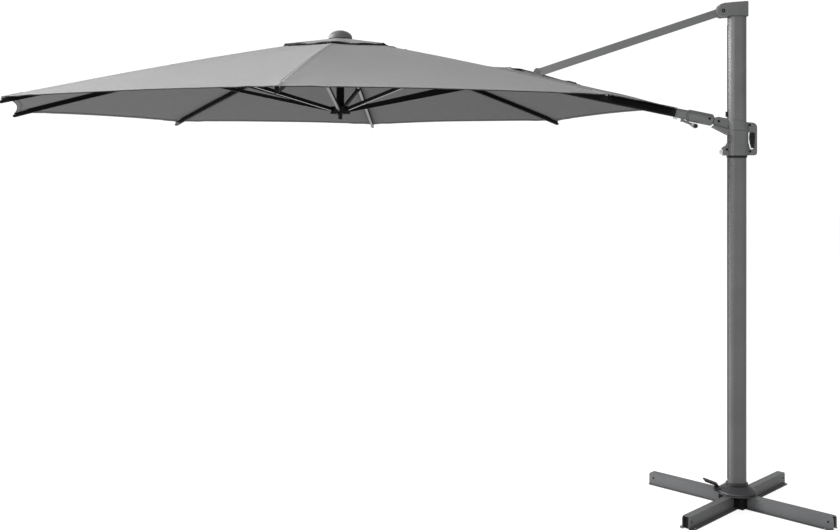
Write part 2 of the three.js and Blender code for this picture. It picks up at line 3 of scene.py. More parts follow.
import bmesh
import bpy
from mathutils import Matrix, Vector


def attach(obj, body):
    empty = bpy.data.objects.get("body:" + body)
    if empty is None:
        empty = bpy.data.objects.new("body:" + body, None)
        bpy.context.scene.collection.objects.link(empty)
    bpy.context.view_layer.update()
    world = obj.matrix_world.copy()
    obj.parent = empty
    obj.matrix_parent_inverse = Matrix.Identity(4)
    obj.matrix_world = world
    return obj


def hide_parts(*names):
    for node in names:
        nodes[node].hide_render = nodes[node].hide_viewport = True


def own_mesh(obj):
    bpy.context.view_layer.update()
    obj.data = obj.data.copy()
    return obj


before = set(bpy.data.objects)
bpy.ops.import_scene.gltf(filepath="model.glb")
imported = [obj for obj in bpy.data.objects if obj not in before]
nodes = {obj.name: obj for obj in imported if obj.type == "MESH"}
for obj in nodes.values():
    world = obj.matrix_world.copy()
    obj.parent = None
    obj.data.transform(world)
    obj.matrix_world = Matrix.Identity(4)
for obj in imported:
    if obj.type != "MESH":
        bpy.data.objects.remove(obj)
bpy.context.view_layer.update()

# Sizes in metres. These are the same as the CAD part's: the octagonal canopy and its vent cap
CENTRE_X = -2.061
RADIUS = 1.75
RIM_Z = 2.037
RISE = 0.384
BOW = 0.14
GORES = 8
HALF = math.pi / GORES
CAP_APEX = 2.426
CAP_RADIUS = 0.350
CAP_SLOPE = 0.18
# the boom, its knuckle on the carriage, and the strut's pivot in the mast head
KNUCKLE = Vector((-0.098, 0.0, 1.980))
BOOM_SLOPE = 0.2104
BOOM_HALF_HEIGHT = 0.023
STRUT_PIVOT_X = -0.078
STRUT_PIVOT_Z = 2.5475
# the base's arms
ARM_TURN = math.radians(48)
ARMS = 4

# Where the gores' cloth begins under the vent cap, and where the cap's begins under the finial
VENT_RADIUS = 0.20
CAP_INNER = 0.03

# The slot over the boom, a little larger than in the CAD part's cloth: its ends' radii, half its
# width, the radius at which its edges begin to stand up, and how far that reaches over the gore,
# as a share of the way between the ribs
SLOT = (0.888, 1.252)
SLOT_HALF = 0.056
LIP_START = 0.81
LIP_REACH = 0.045

# Fabric thicknesses
CLOTH = 0.0009
HEM_FOLD = 0.0008
VENT_SHADE_THICKNESS = 0.0005
FACING = 0.0005
POCKET = 0.0007

# How far the stretched cloth leaves the plain slope between two ribs: the rim pulls in and rises,
# the middle dips, small folds and ripples run over it, and a ridge stands over the boom.
SCALLOP = 0.027
SCALLOP_LIFT = 0.008
DIP = 0.007
PUCKER = 0.0016
RIPPLE = 0.0008
RIDGE = 0.013
CAP_SCALLOP = 0.006
CAP_DIP = 0.004
CAP_RIPPLE = 0.0026


# ---------------------------------------------------------------- materials

GRAIN_DEPTH = 0.0002
METAL_SHARE = 0.35
WEAR = 0.10
THREAD_PITCH = 0.0011
STITCH_PITCH = 0.0042
STITCH_SHARE = 0.68
STITCH_HALF_WIDTH = 0.00055
SEAM_STITCHES = (0.006, 0.0015)
RIM_STITCHES = (0.004, 0.021)


def new_material(name):
    material = bpy.data.materials.new(name)
    material.use_nodes = True
    tree = material.node_tree
    return material, tree, tree.nodes["Principled BSDF"]


def add_node(tree, kind, **settings):
    node = tree.nodes.new(kind)
    for key, value in settings.items():
        setattr(node, key, value)
    return node


def noise(tree, where, scale, detail, rough):
    node = add_node(tree, "ShaderNodeTexNoise")
    node.inputs["Scale"].default_value = scale
    node.inputs["Detail"].default_value = detail
    node.inputs["Roughness"].default_value = rough
    tree.links.new(where, node.inputs["Vector"])
    return node.outputs["Fac"]


def ramp(tree, source, low, high, first, last):
    node = add_node(tree, "ShaderNodeMapRange")
    node.inputs["From Min"].default_value = low
    node.inputs["From Max"].default_value = high
    node.inputs["To Min"].default_value = first
    node.inputs["To Max"].default_value = last
    tree.links.new(source, node.inputs["Value"])
    return node.outputs["Result"]


def mix_colour(tree, factor, first, second):
    node = add_node(tree, "ShaderNodeMix", data_type="RGBA")
    tree.links.new(factor, node.inputs["Factor"])
    for socket, value in (("A", first), ("B", second)):
        target = [s for s in node.inputs if s.name == socket and s.type == "RGBA"][0]
        if isinstance(value, tuple):
            target.default_value = (*value, 1.0)
        else:
            tree.links.new(value, target)
    return [s for s in node.outputs if s.type == "RGBA"][0]


def math_node(tree, operation, first, second=None):
    node = add_node(tree, "ShaderNodeMath", operation=operation)
    for i, value in enumerate((first, second)):
        if value is None:
            continue
        if isinstance(value, (int, float)):
            node.inputs[i].default_value = value
        else:
            tree.links.new(value, node.inputs[i])
    return node.outputs[0]


def parts_of(tree, vector):
    node = add_node(tree, "ShaderNodeSeparateXYZ")
    tree.links.new(vector, node.inputs[0])
    return node.outputs


def object_place(tree):
    return add_node(tree, "ShaderNodeTexCoord").outputs["Object"]


def bump(tree, shader, height, strength, distance):
    node = add_node(tree, "ShaderNodeBump")
    node.inputs["Strength"].default_value = strength
    node.inputs["Distance"].default_value = distance
    tree.links.new(height, node.inputs["Height"])
    tree.links.new(node.outputs["Normal"], shader.inputs["Normal"])


def scaled(colour, factor):
    return tuple(c * factor for c in colour)


def add_underside_reflection(tree, shader, rough, shine, reflection_gloss):
    """The undersides shine more than the sides: a painted reflection, on paint that is the same all
    round.
    """
    normal = add_node(tree, "ShaderNodeNewGeometry").outputs["Normal"]
    below = ramp(tree, parts_of(tree, normal)[2], -0.95, -0.80, 1.0, 0.0)
    gloss = math_node(tree, "ADD", math_node(tree, "MULTIPLY", below, reflection_gloss), shine)
    tree.links.new(gloss, shader.inputs["Specular IOR Level"])
    smoother = math_node(tree, "MULTIPLY", below, -0.30)
    tree.links.new(math_node(tree, "ADD", rough, smoother), shader.inputs["Roughness"])


def powder_coat(name, colour, roughness, grain=0.25, shine=0.5, reflection_gloss=0.0):
    material, tree, shader = new_material(name)
    where = object_place(tree)
    broad = noise(tree, where, scale=3.0, detail=4.0, rough=0.6)
    fine = noise(tree, where, scale=900.0, detail=2.0, rough=0.5)
    lighter = tuple(c * (1 + WEAR) + 0.004 for c in colour)
    shade = ramp(tree, broad, 0.35, 0.65, 0.0, 1.0)
    base = mix_colour(tree, shade, scaled(colour, 1 - WEAR), lighter)
    tree.links.new(base, shader.inputs["Base Color"])
    rough = ramp(tree, broad, 0.3, 0.7, roughness - 0.06, roughness + 0.08)
    tree.links.new(rough, shader.inputs["Roughness"])
    shader.inputs["Metallic"].default_value = METAL_SHARE
    shader.inputs["Specular IOR Level"].default_value = shine
    if reflection_gloss:
        add_underside_reflection(tree, shader, rough, shine, reflection_gloss)
    bump(tree, shader, fine, grain, GRAIN_DEPTH)
    return material


def moulded(name, colour, roughness=0.5, shine=0.5):
    material, tree, shader = new_material(name)
    where = object_place(tree)
    fine = noise(tree, where, scale=1400.0, detail=2.0, rough=0.5)
    broad = noise(tree, where, scale=8.0, detail=3.0, rough=0.6)
    shade = ramp(tree, broad, 0.35, 0.65, 0.0, 1.0)
    base = mix_colour(tree, shade, scaled(colour, 0.9), scaled(colour, 1.12))
    tree.links.new(base, shader.inputs["Base Color"])
    shader.inputs["Roughness"].default_value = roughness
    shader.inputs["Specular IOR Level"].default_value = shine
    bump(tree, shader, fine, 0.3, 0.00015)
    return material


def stitch_rows(tree, across, along):
    """Where the stitches are: two rows beside each seam and two along the rim."""
    edge = add_node(tree, "ShaderNodeUVMap", uv_map="edge").outputs["UV"]
    seam, rim = parts_of(tree, edge)[:2]
    rows = [(seam, along, offset) for offset in SEAM_STITCHES]
    rows += [(rim, across, offset) for offset in RIM_STITCHES]
    marks = None
    for distance, run, offset in rows:
        off_line = math_node(tree, "ABSOLUTE", math_node(tree, "SUBTRACT", distance, offset))
        line = math_node(tree, "LESS_THAN", off_line, STITCH_HALF_WIDTH)
        dash = math_node(tree, "FRACT", math_node(tree, "MULTIPLY", run, 1 / STITCH_PITCH))
        dash = math_node(tree, "LESS_THAN", dash, STITCH_SHARE)
        stitch = math_node(tree, "MULTIPLY", line, dash)
        marks = stitch if marks is None else math_node(tree, "MAXIMUM", marks, stitch)
    return marks


def woven(name, colour, stitches=None):
    """Polyester cloth. The uv map "flat" is the flat cloth's place in metres, across and along.
    The map "edge" is the distance to the nearest seam and to the rim, for the stitching."""
    material, tree, shader = new_material(name)
    flat = add_node(tree, "ShaderNodeUVMap", uv_map="flat").outputs["UV"]
    across, along = parts_of(tree, flat)[:2]
    turns = 2 * math.pi / THREAD_PITCH
    warp = math_node(tree, "SINE", math_node(tree, "MULTIPLY", across, turns))
    weft = math_node(tree, "SINE", math_node(tree, "MULTIPLY", along, turns))
    slub = noise(tree, flat, scale=22.0, detail=4.0, rough=0.65)
    mottle = noise(tree, flat, scale=160.0, detail=3.0, rough=0.6)
    shade = ramp(tree, slub, 0.3, 0.7, 0.0, 1.0)
    base = mix_colour(tree, shade, scaled(colour, 0.95), scaled(colour, 1.05))
    speck = ramp(tree, mottle, 0.35, 0.7, 0.0, 0.25)
    base = mix_colour(tree, speck, base, scaled(colour, 0.82))
    height = math_node(tree, "MULTIPLY", math_node(tree, "MULTIPLY", warp, weft), 0.35)
    if stitches:
        marks = stitch_rows(tree, across, along)
        base = mix_colour(tree, marks, base, stitches)
        height = math_node(tree, "SUBTRACT", height, marks)
    tree.links.new(base, shader.inputs["Base Color"])
    shader.inputs["Roughness"].default_value = 0.92
    shader.inputs["Sheen Weight"].default_value = 0.02
    shader.inputs["Specular IOR Level"].default_value = 0.10
    bump(tree, shader, height, 0.35, 0.0003)
    return material


BLACK = (0.004, 0.004, 0.0045)

anthracite = powder_coat("anthracite_powder_coat", (0.080, 0.081, 0.083), 0.48)
frame_dark = powder_coat("dark_powder_coat", (0.040, 0.041, 0.043), 0.45)
foot_coat = powder_coat("foot_powder_coat", (0.026, 0.026, 0.028), 0.5)
base_coat = powder_coat("base_powder_coat", (0.068, 0.069, 0.071), 0.5, grain=0.35)
# Black powder coat: the own colour of the ribs, hub, pole and stretchers, and painted shade on the base
# core and the boom tube.
black_coat_and_shade = powder_coat("black_powder_coat_and_painted_shade", BLACK, 0.55, grain=0.2, shine=0.06)
# Painted reflection: these copies of the black coat shine more on their undersides, strongly for rib 2
# and less for the stretchers.
underside_reflection_coat = powder_coat("reflection_gloss_powder_coat", BLACK, 0.55, grain=0.2, shine=0.06, reflection_gloss=1.4)
stretcher_coat = powder_coat(
    "stretcher_powder_coat", BLACK, 0.55, grain=0.2, shine=0.06, reflection_gloss=0.55)
black_plastic = moulded("black_moulding", (0.005, 0.005, 0.0055), 0.55, 0.15)
grey_plastic = moulded("light_grey_moulding", (0.42, 0.42, 0.43))
# Near-black with almost no reflection, painted shade: the screw heads stand for dark screw holes, and
# the rib tip caps are made as dark as the shade there.
screw_shade_black = moulded("painted_shade_near_black", (0.002, 0.002, 0.002), 0.8, 0.05)
finial_plastic = moulded("finial_moulding", (0.065, 0.065, 0.067), 0.6, 0.3)
cloth = woven("grey_polyester", (0.152, 0.152, 0.154), stitches=(0.09, 0.09, 0.092))
# Painted shade: a darker copy of the grey cloth, for the cloth's underside and for the slot facing in
# the strut's shadow.
shaded_cloth = woven("painted_shade_cloth", (0.088, 0.088, 0.089), stitches=(0.05, 0.05, 0.051))
binding = woven("dark_binding", (0.02, 0.02, 0.021))
# Near-black cloth, painted shade: it fills the vent gap under the cap and colours the slot bindings.
black_shade_cloth = woven("painted_shade_black_cloth", (0.008, 0.008, 0.008))


def paint(obj, material):
    obj.data.materials.clear()
    obj.data.materials.append(material)


def soften(obj, width):
    bevel = obj.modifiers.new("edge", "BEVEL")
    bevel.width = width
    bevel.segments = 2
    bevel.limit_method = "ANGLE"
    bevel.angle_limit = math.radians(28)
    bevel.harden_normals = False


# ---------------------------------------------------------------- CAD pieces

# The material and the width of the rounded edges, by the start of a node's name.
# The longest start that fits a name counts.
CAD_LOOKS = {
    "base_": (base_coat, 0.0008),
    # Painted shade: the core box is black for the dark void under the flange between the arms.
    "base_core": (black_coat_and_shade, 0.0008),
    "base_flange": (foot_coat, 0.0008),
    "mast_foot": (foot_coat, 0.0015),
    "foot_pedal": (black_plastic, 0.0015),
    "mast_tube": (anthracite, 0.0003),
    "mast_head": (anthracite, 0.002),
    "stop_bumper": (black_plastic, 0.0015),
    "carriage_sleeve": (anthracite, 0.0015),
    "carriage_handle": (anthracite, 0.003),
    "grip_trigger": (black_plastic, 0.0015),
    "latch_lever": (grey_plastic, 0.002),
    "knuckle": (frame_dark, 0.0012),
    "strut": (anthracite, 0.0015),
    "strut_collar": (frame_dark, 0.0012),
    # Painted shade: the boom tube is black for the canopy's shadow over it; the collar keeps the
    # frame's grey.
    "boom_tube": (black_coat_and_shade, 0.0003),
    "boom_collar": (anthracite, 0.001),
    "boom_tip": (frame_dark, 0.0008),
    "boom_stretcher": (black_coat_and_shade, 0.0008),
    "tilt_barrel": (anthracite, 0.002),
    "tilt_lever": (anthracite, 0.0015),
    "crown_hub": (black_coat_and_shade, 0.001),
    "finial": (finial_plastic, 0.0008),
    "hub_star": (black_plastic, 0.001),
    "hub_knob": (black_plastic, 0.001),
    "centre_pole": (black_coat_and_shade, 0.0005),
    "rib_": (black_coat_and_shade, 0.0006),
    # Rib 2 and the stretchers take the copies with a painted reflection on their undersides.
    "rib_2": (underside_reflection_coat, 0.0006),
    # Painted shade: the rib tip caps take the near-black of the screw holes.
    "rib_cap": (screw_shade_black, 0.0012),
    "stretcher": (stretcher_coat, 0.0006),
}


def finish_cad():
    for name, node in nodes.items():
        if name.startswith("gore_"):
            continue
        start = max((key for key in CAD_LOOKS if name.startswith(key)), key=len)
        material, width = CAD_LOOKS[start]
        paint(node, material)
        soften(node, width)
        for polygon in node.data.polygons:
            polygon.use_smooth = True
        node.data.set_sharp_from_angle(angle=math.radians(32))


finish_cad()


# ---------------------------------------------------------------- the cloth's shape

def smooth(x):
    x = min(1.0, max(0.0, x))
    return x * x * (3 - 2 * x)


def gore_turn(index):
    """The direction of the middle of gore index (0 to 7)."""
    return (index + 0.5) * 2 * HALF


def around_centre(x, y, z, turn):
    """A point x out from the canopy's centre and y beside that, turned into the row frame."""
    return Vector((CENTRE_X + x * math.cos(turn) - y * math.sin(turn),
                   x * math.sin(turn) + y * math.cos(turn), z))


def cloth_height(r):
    t = (RADIUS - r) / RADIUS
    return RIM_Z + RISE * ((1 + BOW) * t - BOW * t * t)


def boom_height(r):
    """Over the boom the cloth lies on the boom's top where that is higher, and forms a ridge."""
    axis = KNUCKLE.z + BOOM_SLOPE * (KNUCKLE.x - CENTRE_X - r)
    top = axis + BOOM_HALF_HEIGHT / math.cos(math.atan(BOOM_SLOPE)) + 0.0012
    plain = cloth_height(r)
    ridge = RIDGE * smooth((r - 0.62) / 0.32) * smooth((1.73 - r) / 0.30)
    return (max(plain, top) if r > CAP_RADIUS + 0.01 else plain) + ridge


def slot_shift(r):
    """How far the cloth's edge stands off the boom's centre line, along the slot."""
    rise = smooth((r - SLOT[0]) / 0.04) * smooth((SLOT[1] - r) / 0.05)
    return SLOT_HALF * rise


def slot_lip(r, near, height):
    """An edge of the slot stands up as a lip beside the strut's lugs. It grows over the last
    stretch before the slot, sinks along the slot, and is gone just before the slot's end."""
    start = smooth((r - LIP_START) / 0.10)
    end = (1 - 0.45 * smooth((r - 1.00) / 0.24)) * smooth((SLOT[1] - 0.004 - r) / 0.028)
    return height * start * end * max(0.0, 1 - near / LIP_REACH) ** 1.4


def lip_height(r, far):
    """The slot's far edge rises along the slot, and its near edge drops where the slot opens."""
    if far:
        return 0.0135 + 0.0120 * smooth((r - 0.91) / 0.09)
    return 0.0040 + 0.0095 * (1 - smooth((r - SLOT[0]) / 0.030))


def small_folds(index, r, t):
    """Small folds that fan out towards each rib's tip, and faint ripples all over."""
    bow = 4 * t * (1 - t)
    near = min(t, 1 - t)
    fan = math.exp(-((near - 0.09) / 0.07) ** 2) * smooth((r - 1.25) / 0.4)
    folds = PUCKER * fan * math.sin(60 * near + 9 * r + index)
    ripples = RIPPLE * math.sin(7 * r + 2.1 * index) * math.sin(11 * t + index) * bow
    return folds, ripples


def gore_point(index, r, t):
    """A point of gore index (0 to 7): r out along the ribs, t from rib to rib."""
    start = boom_height(r) if index == 0 else cloth_height(r)
    end = boom_height(r) if index == GORES - 1 else cloth_height(r)
    bow = 4 * t * (1 - t)
    depth = smooth((r - 1.15) / (RADIUS - 1.15))
    x = r * math.cos(HALF) - SCALLOP * bow * depth ** 3
    y = r * math.sin(HALF) * (2 * t - 1)
    z = start + (end - start) * t + SCALLOP_LIFT * bow * depth ** 3
    dip = 1 if index not in (0, GORES - 1) else 0.6
    z -= DIP * bow * math.sin(math.pi * min(1.0, r / RADIUS) ** 1.3) * dip
    for fold in small_folds(index, r, t):
        z += fold
    if index == 0:
        y += slot_shift(r) * max(0.0, 1 - t * 3) ** 1.2
        z += slot_lip(r, t, lip_height(r, True))
    if index == GORES - 1:
        y -= slot_shift(r) * max(0.0, 1 - (1 - t) * 3) ** 1.2
        z += slot_lip(r, 1 - t, lip_height(r, False))
    return around_centre(x, y, z, gore_turn(index))


def cap_point(index, r, t):
    """A point of the vent cap over gore index."""
    bow = 4 * t * (1 - t)
    edge = smooth((r - 0.12) / (CAP_RADIUS - 0.12))
    x = r * math.cos(HALF) - CAP_SCALLOP * bow * edge
    y = r * math.sin(HALF) * (2 * t - 1)
    z = CAP_APEX - CAP_SLOPE * r - CAP_DIP * bow * edge
    z += CAP_RIPPLE * edge * math.sin(13 * t + 2 * index)
    over_boom = {0: 1 - t, GORES - 1: t}.get(index, 0.0)
    z -= 0.007 * edge * over_boom ** 2
    return around_centre(x, y, z, gore_turn(index))


# ---------------------------------------------------------------- the cloth's pieces

def spread(low, high, count):
    return [low + (high - low) * i / count for i in range(count + 1)]


def graded(count):
    """Steps from rib to rib, closer together near the ribs."""
    edges = [0.0, 0.006, 0.014, 0.03, 0.045]
    middle = spread(0.06, 0.94, count)
    return edges + middle + [1 - e for e in reversed(edges)]


# The grid's radii lie closer together along the slot and in the rim's hem
ALONG_SLOT = spread(0.87, 1.24, 26) + [1.246, 1.252, 1.258, 1.27]
GORE_RADII = (spread(VENT_RADIUS, 0.86, 12) + ALONG_SLOT + spread(1.29, 1.72, 18)
              + [1.7285, 1.735, 1.742, RADIUS])
CAP_RADII = spread(CAP_INNER, 0.32, 9) + [0.329, 0.333, 0.342, CAP_RADIUS]
RIM_RADII = [RADIUS - 0.024, RADIUS - 0.012, RADIUS - 0.0005]
VENT_SHADE_RADII = [0.315, 0.322, 0.329, 0.335]
GORE_STEPS = graded(22)
CAP_STEPS = graded(8)
ROUND = spread(0, 1, 8)


def thicken(obj, thickness):
    solid = obj.modifiers.new("cloth", "SOLIDIFY")
    solid.thickness = thickness
    solid.offset = 1.0
    return solid


def build_sheet(name, point, radii, steps, material, thickness=CLOTH, reach=RADIUS):
    """A sheet on a grid of (r, t) points, with the uv maps that woven() describes."""
    bm = bmesh.new()
    flat = bm.loops.layers.uv.new("flat")
    edge = bm.loops.layers.uv.new("edge")
    rows = [[bm.verts.new(point(r, t)) for t in steps] for r in radii]
    for i in range(len(radii) - 1):
        for j in range(len(steps) - 1):
            corners = ((i, j), (i + 1, j), (i + 1, j + 1), (i, j + 1))
            face = bm.faces.new([rows[a][b] for a, b in corners])
            face.smooth = True
            for loop, (a, b) in zip(face.loops, corners):
                r, t = radii[a], steps[b]
                width = 2 * r * math.sin(HALF)
                side = min(t, 1 - t) * width * math.cos(HALF)
                loop[flat].uv = ((t - 0.5) * width, r)
                loop[edge].uv = (side, max(0.0, reach - r))
    mesh = bpy.data.meshes.new(name)
    bm.normal_update()
    bm.to_mesh(mesh)
    bm.free()
    obj = bpy.data.objects.new(name, mesh)
    bpy.context.scene.collection.objects.link(obj)
    paint(obj, material)
    if thickness:
        solid = thicken(obj, thickness)
        # The sheet's underside takes the darker copy of the cloth, painted shade.
        if material is cloth:
            obj.data.materials.append(shaded_cloth)
            solid.material_offset = 1
    return obj


def fold_with(obj, index):
    """The piece rides on its gore's body, with a mesh of its own."""
    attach(obj, f"cloth_{index + 1}")
    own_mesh(obj)


def raised_hem(r, edge, width):
    return HEM_FOLD * smooth((r - (edge - width)) / 0.003)


def main_gore(index):
    """The gore with a raised welt along its seams and a hem along the rim."""
    def on_gore(r, t):
        near = min(t, 1 - t) * 2 * r * math.sin(HALF)
        welt = 0.0009 * smooth((0.010 - near) / 0.004)
        return gore_point(index, r, t) + Vector((0, 0, welt + raised_hem(r, RADIUS, 0.026) + 0.0002))

    gore = build_sheet(f"canopy_gore_{index + 1}", on_gore, GORE_RADII, GORE_STEPS, cloth)
    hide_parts(f"gore_{index + 1}")
    return gore


def cap_gore(index):
    def on_cap(r, t):
        return cap_point(index, r, t) + Vector((0, 0, raised_hem(r, CAP_RADIUS, 0.018)))

    return build_sheet(
        f"vent_cap_gore_{index + 1}", on_cap, CAP_RADII, CAP_STEPS, cloth, reach=CAP_RADIUS)


def rim_hem(index):
    """The hem's folded strip, under the gore's rim."""
    def on_rim(r, t):
        return gore_point(index, r, t) + Vector((0, 0, -0.0012))

    return build_sheet(f"rim_hem_{index + 1}", on_rim, RIM_RADII, GORE_STEPS, cloth, HEM_FOLD)


def round_edge(p, index, share, half):
    """A narrow round binding folded over an outer edge of the cloth."""
    turn = gore_turn(index)
    out = Vector((math.cos(turn), math.sin(turn), -0.2)).normalized()
    a = share * 2 * math.pi
    return p + out * (0.0014 * math.cos(a) - 0.0002) + Vector((0, 0, half * math.sin(a)))


def rim_binding(index):
    def on_edge(share, t):
        return round_edge(gore_point(index, RADIUS, t), index, share, 0.0020)

    return build_sheet(f"rim_binding_{index + 1}", on_edge, ROUND, GORE_STEPS, binding, 0)


def cap_binding(index):
    def on_edge(share, t):
        return round_edge(cap_point(index, CAP_RADIUS, t), index, share, 0.0036)

    return build_sheet(f"cap_binding_{index + 1}", on_edge, ROUND, CAP_STEPS, binding, 0)


def vent_gap_shade(index):
    """A black band that closes the gap between the gore and the cap over it, painted shade for the dark
    vent gap.
    """
    def on_vent_shade(r, t):
        low = gore_point(index, 0.338, t) + Vector((0, 0, 0.0014))
        high = cap_point(index, 0.322, t) + Vector((0, 0, -0.0006))
        return low.lerp(high, (r - VENT_SHADE_RADII[0]) / 0.02)

    return build_sheet(f"vent_gap_shade_{index + 1}", on_vent_shade, VENT_SHADE_RADII, CAP_STEPS, black_shade_cloth, VENT_SHADE_THICKNESS)


def slot_edge(index, r):
    """A point of the slot's edge on gore index, and the way from it to the boom."""
    far = index == 0
    return gore_point(index, r, 0.0 if far else 1.0), (-1 if far else 1)


def slot_binding(index):
    """A binding along the slot's edge; its black and its extra thickness near both ends of the slot are
    painted shade under the lips.
    """
    def on_lip(share, t):
        r = SLOT[0] - 0.006 + (SLOT[1] - SLOT[0] + 0.010) * t
        p, inward = slot_edge(index, r)
        thick_start = 0.0060 if index == 0 else 0.0048
        thick_start *= smooth((r - 0.884) / 0.024) * (1 - smooth((r - 0.95) / 0.06))
        thick_end = 0.0030 * smooth((r - 1.19) / 0.03)
        half = 0.0012 + thick_start + thick_end
        a = share * 2 * math.pi
        return p + Vector((0, inward * (0.001 + 0.0024 * math.cos(a)), half * math.sin(a)))

    return build_sheet(f"slot_binding_{index + 1}", on_lip, ROUND, spread(0, 1, 40), black_shade_cloth, 0)


def slot_facing(index, label, first, last, material):
    """A facing that hangs inside the slot, from its lip down beside the boom."""
    def on_facing(share, t):
        p, inward = slot_edge(index, first + (last - first) * t)
        beside = smooth((abs(p.y) - 0.022) / 0.012)
        low = KNUCKLE.z + BOOM_SLOPE * (KNUCKLE.x - p.x) + 0.029 - 0.036 * beside
        drop = max(0.0, p.z - 0.001 - low)
        return Vector((p.x, p.y + inward * 0.0008, p.z - 0.001 - drop * share))

    name = f"slot_facing_{label}_{index + 1}"
    return build_sheet(name, on_facing, spread(0, 1, 5), spread(0, 1, 20), material, FACING)


def slot_pieces(index):
    """What is sewn to the slot's edge, on the two gores beside the boom."""
    if index not in (0, GORES - 1):
        return []
    # The facing's lower part takes the darker cloth, painted shadow of the strut.
    return [slot_binding(index), slot_facing(index, "up", 0.892, 1.060, cloth),
            slot_facing(index, "down", 1.060, 1.248, shaded_cloth)]


def build_canopy():
    for i in range(GORES):
        gore = main_gore(i)
        cap = cap_gore(i)
        sewn_to_gore = [rim_hem(i), rim_binding(i)]
        sewn_to_cap = [cap_binding(i), vent_gap_shade(i)]
        sewn_to_gore += slot_pieces(i)
        for piece in (gore, cap, *sewn_to_cap, *sewn_to_gore):
            fold_with(piece, i)


build_canopy()


# ---------------------------------------------------------------- small trim

SIDES = (("near", -1), ("far", 1))
TURNED_SEGMENTS = 24
# A screw head's outline, in shares of its radius and its height
DOME = ((0, 0), (1, 0), (1, 0.35), (0.93, 0.68), (0.75, 0.9), (0.5, 1))
SOCKET = ((0.46, 1), (0.42, 0.45), (0, 0.45))
FLAT_TOP = ((0, 1),)
# The radius and height of each kind of head
HEAD_SCREW = (0.0088, 0.0022)
HEAD_SCREW_END = (0.0036, 0.0016)
KNUCKLE_SCREW = (0.0062, 0.0018)
CASE_SCREW = (0.0058, 0.0020)
BARREL_SCREW = (0.0060, 0.0018)
LEVER_DISC = (0.0095, 0.0016)
LEVER_MARK = (0.0040, 0.0014)
ARM_SCREW = (0.0052, 0.0016)
SEAM_HALF_WIDTH = 0.0004

boom_angle = math.atan(BOOM_SLOPE)
boom_along = Vector((-math.cos(boom_angle), 0, math.sin(boom_angle)))
boom_up = Vector((math.sin(boom_angle), 0, math.cos(boom_angle)))
boom_frame = Matrix.Translation(KNUCKLE) @ Matrix((
    (boom_along.x, 0, boom_up.x, 0), (0, -1, 0, 0), (boom_along.z, 0, boom_up.z, 0), (0, 0, 0, 1)))


def on_boom(along, side, up):
    return KNUCKLE + boom_along * along + Vector((0, side, 0)) + boom_up * up


def add_mesh(name, bm, material, body, smooth_angle=35):
    mesh = bpy.data.meshes.new(name)
    bmesh.ops.recalc_face_normals(bm, faces=bm.faces)
    bm.to_mesh(mesh)
    bm.free()
    for polygon in mesh.polygons:
        polygon.use_smooth = True
    mesh.set_sharp_from_angle(angle=math.radians(smooth_angle))
    obj = bpy.data.objects.new(name, mesh)
    bpy.context.scene.collection.objects.link(obj)
    paint(obj, material)
    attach(obj, body)
    return obj


def turned(bm, profile, at, direction):
    """A turned piece: (radius, height) points from its foot to its top, along a direction."""
    aim = Vector(direction).normalized().to_track_quat("Z", "Y").to_matrix().to_4x4()
    place = Matrix.Translation(at) @ aim
    rings = []
    for radius, height in profile:
        if radius < 1e-6:
            rings.append([bm.verts.new(place @ Vector((0, 0, height)))])
            continue
        ring = []
        for k in range(TURNED_SEGMENTS):
            a = 2 * math.pi * k / TURNED_SEGMENTS
            spot = Vector((radius * math.cos(a), radius * math.sin(a), height))
            ring.append(bm.verts.new(place @ spot))
        rings.append(ring)
    for low, high in zip(rings, rings[1:]):
        for k in range(TURNED_SEGMENTS):
            n = (k + 1) % TURNED_SEGMENTS
            if len(low) == 1:
                bm.faces.new((low[0], high[n], high[k]))
            elif len(high) == 1:
                bm.faces.new((low[k], low[n], high[0]))
            else:
                bm.faces.new((low[k], low[n], high[n], high[k]))


def screw_head(name, at, direction, radius, height, body, material, top=SOCKET):
    """A dome-headed screw with a round socket, or a plain disc of the same outline."""
    bm = bmesh.new()
    turned(bm, [(radius * r, height * h) for r, h in DOME + top], Vector(at), direction)
    add_mesh(name, bm, material, body)


# Screw heads default to near-black, painted shade for screw holes.
def pair_of_screws(name, x, side, z, radius, height, body, material=screw_shade_black):
    for label, sign in SIDES:
        screw_head(f"{name}_{label}", (x, sign * side, z), (0, sign, 0), radius, height, body, material)


def block(name, low, high, material, body, width=0.0, place=None):
    """A box between two corners, in the row frame or in a given frame."""
    bm = bmesh.new()
    bmesh.ops.create_cube(bm, size=1)
    size = Vector(high) - Vector(low)
    middle = (Vector(high) + Vector(low)) / 2
    shape = Matrix.Translation(middle) @ Matrix.Diagonal((*size, 1))
    bmesh.ops.transform(bm, matrix=(place or Matrix.Identity(4)) @ shape, verts=bm.verts)
    obj = add_mesh(name, bm, material, body)
    if width:
        soften(obj, width)


def rounded_outline(width, depth, radius):
    """The outline of a rounded rectangle, seen from above."""
    steps = 6
    points = []
    for corner, (sx, sy) in enumerate(((1, 1), (-1, 1), (-1, -1), (1, -1))):
        for k in range(steps + 1):
            a = (corner + k / steps) * math.pi / 2
            points.append((sx * (width / 2 - radius) + radius * math.cos(a),
                           sy * (depth / 2 - radius) + radius * math.sin(a)))
    return points


def band(name, outer, inner, low, high, material, body):
    """A ring between two outlines with the same number of points."""
    bm = bmesh.new()
    loops = [[bm.verts.new((x, y, z)) for x, y in outline]
             for outline, z in ((outer, low), (outer, high), (inner, high), (inner, low))]
    count = len(outer)
    for first, second in zip(loops, loops[1:] + loops[:1]):
        for k in range(count):
            n = (k + 1) % count
            bm.faces.new((first[k], first[n], second[n], second[k]))
    add_mesh(name, bm, material, body)


def side_seam(name, sign, side, x_range, z_range, body):
    """A thin dark line on a side face, where two mouldings meet."""
    middle = sign * side
    low = (x_range[0], middle - SEAM_HALF_WIDTH, z_range[0])
    high = (x_range[1], middle + SEAM_HALF_WIDTH, z_range[1])
    block(name, low, high, black_plastic, body)


